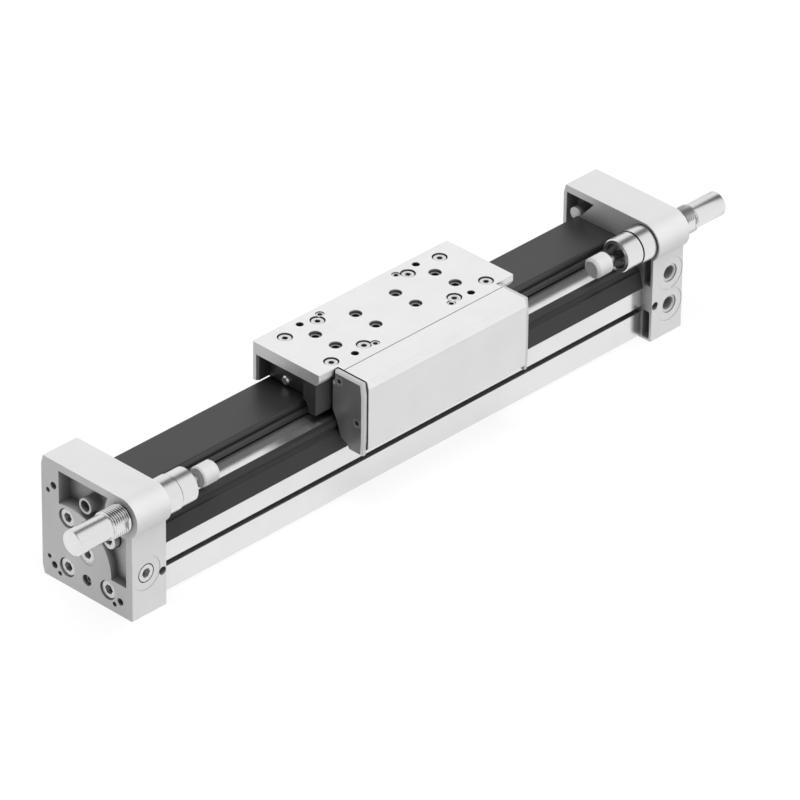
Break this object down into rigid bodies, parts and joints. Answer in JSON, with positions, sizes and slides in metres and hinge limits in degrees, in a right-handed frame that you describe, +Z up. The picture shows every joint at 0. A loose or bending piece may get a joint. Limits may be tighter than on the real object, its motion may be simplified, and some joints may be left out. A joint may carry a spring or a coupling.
{
  "type": "rodless pneumatic cylinder",
  "caption": "Rodless pneumatic cylinder: extruded barrel with covered driver slot, guided carriage with a threaded slide plate, and end caps that carry adjustable shock absorbers.",
  "frame": {"origin": "on the underside, below the bore's axis, midway between the end caps' outer faces", "axes": "+X along the barrel towards the cap with two open ports, +Z up through the slide plate, -Y towards the shock absorbers and the side cover"},
  "size_m": [0.4832, 0.077, 0.0785],
  "materials": {
    "anodised_aluminium": "satin anodised extrusion",
    "plate_aluminium": "fine satin, clear anodised",
    "cast_aluminium": "fine blasted casting, clear coated",
    "dark_rail": "black oxide, ground",
    "black_anodised": "satin black anodised",
    "steel_band": "rolled strip",
    "chrome_steel": "bright plated",
    "bright_steel": "bright turned",
    "black_rubber": "matt",
    "white_plastic": "moulded",
    "black_plastic": "moulded, semi-matt",
    "magnet": "pressed magnet"
  },
  "bodies": {
    "frame": {"axial_plug_left": "chrome_steel", "axial_plug_right": "chrome_steel", "band_clamp_left": "black_plastic", "band_clamp_right": "black_plastic", "barrel_profile": "anodised_aluminium", "bore_plug_left": "anodised_aluminium", "bore_plug_right": "anodised_aluminium", "cap_screws_left": "chrome_steel", "cap_screws_right": "chrome_steel", "cushion_screw_left": "bright_steel", "cushion_screw_right": "bright_steel", "end_cap_left": "cast_aluminium", "end_cap_right": "cast_aluminium", "guide_rail": "dark_rail", "inner_band": "steel_band", "lock_nut_left": "chrome_steel", "lock_nut_right": "chrome_steel", "outer_band": "steel_band", "plug_seal_left": "black_rubber", "plug_seal_right": "black_rubber", "shock_body_left": "chrome_steel", "shock_body_right": "chrome_steel", "side_plug_left": "chrome_steel", "stop_sleeve_left": "chrome_steel", "stop_sleeve_right": "chrome_steel", "top_cover": "black_anodised"},
    "carriage": {"slide_plate": "plate_aluminium", "plate_screws": "chrome_steel", "set_screws": "bright_steel", "carriage_body": "anodised_aluminium", "side_cover": "plate_aluminium", "guide_balls": "bright_steel", "ball_cages": "black_plastic", "piston": "anodised_aluminium", "piston_seal_left": "black_rubber", "piston_seal_right": "black_rubber", "wear_ring_left": "white_plastic", "wear_ring_right": "white_plastic", "magnet_ring": "magnet", "driver_yoke": "bright_steel", "yoke_screws": "bright_steel", "end_plate_left": "black_plastic", "end_plate_screws_left": "bright_steel", "end_block_left": "black_plastic", "wiper_left": "black_rubber", "grease_nipple_left": "bright_steel", "end_plate_right": "black_plastic", "end_plate_screws_right": "bright_steel", "end_block_right": "black_plastic", "wiper_right": "black_rubber", "grease_nipple_right": "bright_steel"},
    "left_buffer": {"buffer_left": "white_plastic", "buffer_rod_left": "bright_steel"},
    "right_buffer": {"buffer_right": "white_plastic", "buffer_rod_right": "bright_steel"}
  },
  "joints": [
    {"name": "carriage_slide", "type": "slide", "parent": "frame", "child": "carriage", "axis": [1, 0, 0], "range_m": [-0.0912, 0.065]},
    {"name": "left_buffer_slide", "type": "slide", "parent": "frame", "child": "left_buffer", "axis": [-1, 0, 0], "range_m": [0, 0.019], "stiffness_N_per_m": 300, "springref_m": -0.01},
    {"name": "right_buffer_slide", "type": "slide", "parent": "frame", "child": "right_buffer", "axis": [1, 0, 0], "range_m": [0, 0.019], "stiffness_N_per_m": 300, "springref_m": -0.01}
  ]
}
